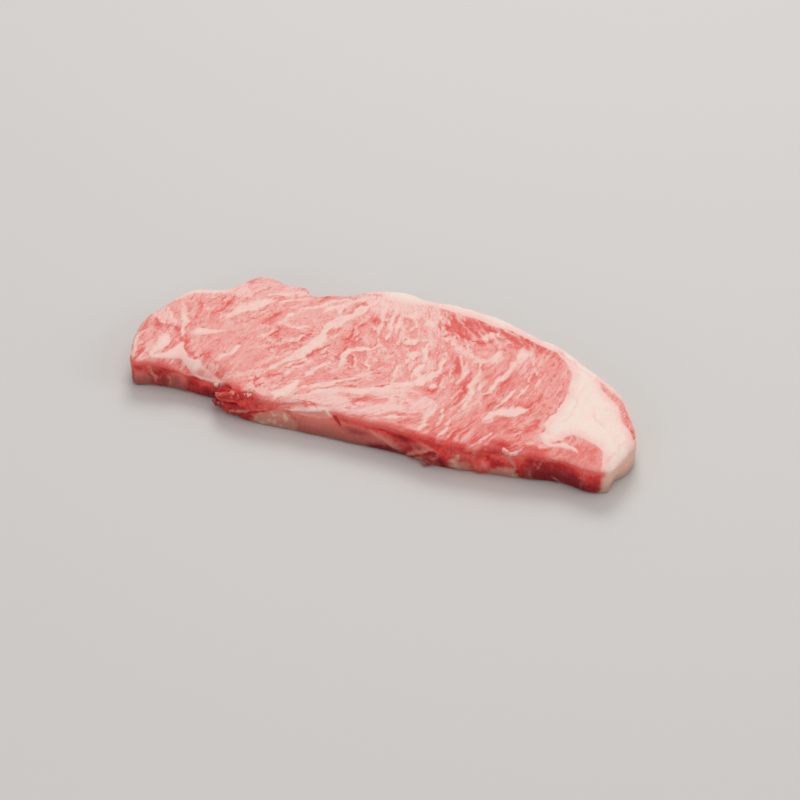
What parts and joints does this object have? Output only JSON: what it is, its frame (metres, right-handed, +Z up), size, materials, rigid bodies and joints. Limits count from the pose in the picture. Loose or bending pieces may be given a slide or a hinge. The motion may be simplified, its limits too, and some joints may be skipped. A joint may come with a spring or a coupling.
{
  "type": "beef sirloin steak",
  "caption": "Raw sirloin steak: a thin slab of marbled lean with a thin cap of fat along its back and a thick wedge of fat at one end.",
  "frame": {"origin": "centre of the footprint's box, on the surface that the steak lies on", "axes": "+X along the steak to the end with the wedge of fat, +Y to the back rim with the cap of fat, +Z up through the slab"},
  "size_m": [0.2198, 0.0844, 0.016],
  "materials": {
    "raw_beef": "satin"
  },
  "bodies": {
    "root": {"steak": "raw_beef"}
  },
  "joints": []
}
